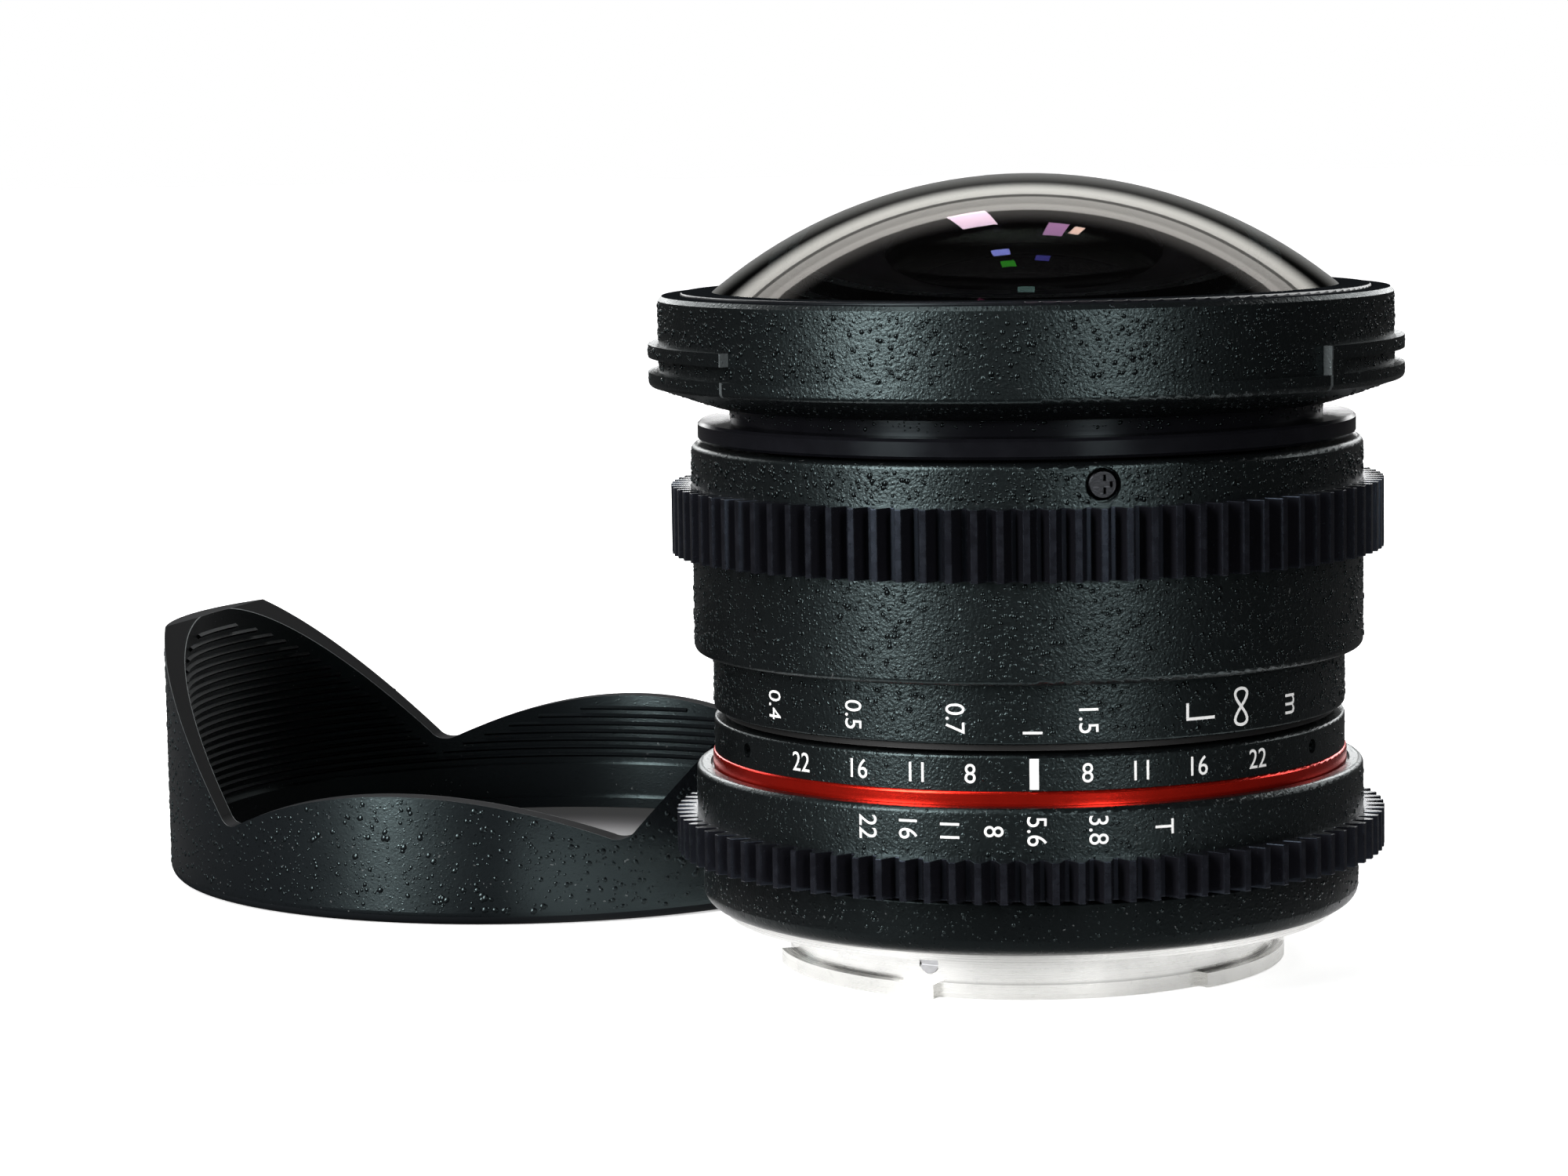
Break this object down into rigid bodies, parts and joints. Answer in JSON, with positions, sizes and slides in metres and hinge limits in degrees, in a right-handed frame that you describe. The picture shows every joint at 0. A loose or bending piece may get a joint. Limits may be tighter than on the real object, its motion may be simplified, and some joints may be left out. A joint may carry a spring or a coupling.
{
  "type": "fisheye lens",
  "caption": "Manual cine fisheye lens with bulging front glass, geared focus and aperture rings, bladed diaphragm and camera bayonet, with its petal hood set down beside it.",
  "frame": {"origin": "centre of the bayonet's rear face, which the lens stands on", "axes": "+Z along the lens axis towards the front glass; the index line faces -Y; +X to the right of it"},
  "size_m": [0.1437, 0.1416, 0.083],
  "materials": {
    "barrel_black": "fine spatter-textured black paint",
    "satin_black": "satin black anodised",
    "inner_black": "matt black anodised",
    "red_anodised": "glossy red anodised",
    "mount_chrome": "turned bright chrome",
    "screw_steel": "bright steel",
    "screw_black": "blackened steel",
    "sleeve_brass": "machined",
    "blade_steel": "blued spring steel",
    "front_glass": "polished and coated",
    "inner_glass": "polished and coated",
    "hood_plastic": "matt black, fine texture"
  },
  "bodies": {
    "barrel": {"mount_bayonet": "mount_chrome", "mount_screws": "screw_steel", "baffle_screws": "screw_steel", "rear_baffle": "inner_black", "rear_barrel": "barrel_black", "fixed_barrel": "inner_black", "index_ring": "barrel_black", "index_set_screws": "screw_black", "red_ring": "red_anodised", "focus_stop_pin": "screw_steel", "focus_retaining_ring": "inner_black"},
    "aperture": {"aperture_ring": "barrel_black", "aperture_gear": "satin_black", "aperture_drive_pin": "screw_steel"},
    "focus": {"focus_ring": "barrel_black", "focus_gear": "satin_black", "focus_cap": "barrel_black", "focus_screws": "screw_black", "cam_sleeve": "sleeve_brass"},
    "optics": {"lens_barrel": "inner_black", "cam_rollers": "screw_steel", "front_barrel": "satin_black", "front_rim": "barrel_black", "front_bezel": "satin_black", "element_1": "front_glass", "element_2": "inner_glass", "element_2_retainer": "inner_black", "front_cell": "inner_black", "element_3": "inner_glass", "element_3_retainer": "inner_black", "element_4": "inner_glass", "element_5": "inner_glass", "front_doublet_retainer": "inner_black", "diaphragm_housing": "inner_black", "rear_cell": "inner_black", "element_6": "inner_glass", "element_7": "inner_glass", "element_8": "inner_glass", "rear_spacer": "inner_black", "element_9": "inner_glass", "element_10": "inner_glass", "rear_retainer": "inner_black"},
    "iris": {"iris_ring": "blade_steel"},
    "hood": {"hood": "hood_plastic"},
    "blade_1": {"blade_1": "blade_steel"},
    "blade_2": {"blade_2": "blade_steel"},
    "blade_3": {"blade_3": "blade_steel"},
    "blade_4": {"blade_4": "blade_steel"},
    "blade_5": {"blade_5": "blade_steel"},
    "blade_6": {"blade_6": "blade_steel"}
  },
  "joints": [
    {"name": "focus_turn", "type": "hinge", "parent": "barrel", "child": "focus", "pos_m": [0, 0, 0.041], "axis": [0, 0, 1], "range_deg": [-39, 86]},
    {"name": "aperture_turn", "type": "hinge", "parent": "barrel", "child": "aperture", "pos_m": [0, 0, 0.0165], "axis": [0, 0, 1], "range_deg": [-10, 28]},
    {"name": "focus_travel", "type": "slide", "parent": "barrel", "child": "optics", "axis": [0, 0, 1], "range_m": [-0.00008, 0.00016]},
    {"name": "iris_turn", "type": "hinge", "parent": "optics", "child": "iris", "pos_m": [0, 0, 0.0401], "axis": [0, 0, 1], "range_deg": [-10.5, 28.5]},
    {"name": "hood_lift", "type": "slide", "parent": "barrel", "child": "hood", "axis": [0, 0, 1], "range_m": [0, 0.1]},
    {"name": "blade_1_swing", "type": "hinge", "parent": "optics", "child": "blade_1", "pos_m": [0.01, 0, 0.038], "axis": [0, 0, 1], "range_deg": [-6.3, 16.7]},
    {"name": "blade_2_swing", "type": "hinge", "parent": "optics", "child": "blade_2", "pos_m": [0.005, 0.00866, 0.038], "axis": [0, 0, 1], "range_deg": [-6.3, 16.7]},
    {"name": "blade_3_swing", "type": "hinge", "parent": "optics", "child": "blade_3", "pos_m": [-0.005, 0.00866, 0.038], "axis": [0, 0, 1], "range_deg": [-6.3, 16.7]},
    {"name": "blade_4_swing", "type": "hinge", "parent": "optics", "child": "blade_4", "pos_m": [-0.01, 0, 0.038], "axis": [0, 0, 1], "range_deg": [-6.3, 16.7]},
    {"name": "blade_5_swing", "type": "hinge", "parent": "optics", "child": "blade_5", "pos_m": [-0.005, -0.00866, 0.038], "axis": [0, 0, 1], "range_deg": [-6.3, 16.7]},
    {"name": "blade_6_swing", "type": "hinge", "parent": "optics", "child": "blade_6", "pos_m": [0.005, -0.00866, 0.038], "axis": [0, 0, 1], "range_deg": [-6.3, 16.7]}
  ],
  "couplings": [
    {"joint": "focus_travel", "follows": "focus_turn", "m_per_rad": 0.0001},
    {"joint": "iris_turn", "follows": "aperture_turn", "ratio": 1},
    {"joint": "blade_1_swing", "follows": "aperture_turn", "ratio": 0.57895},
    {"joint": "blade_2_swing", "follows": "aperture_turn", "ratio": 0.57895},
    {"joint": "blade_3_swing", "follows": "aperture_turn", "ratio": 0.57895},
    {"joint": "blade_4_swing", "follows": "aperture_turn", "ratio": 0.57895},
    {"joint": "blade_5_swing", "follows": "aperture_turn", "ratio": 0.57895},
    {"joint": "blade_6_swing", "follows": "aperture_turn", "ratio": 0.57895}
  ]
}
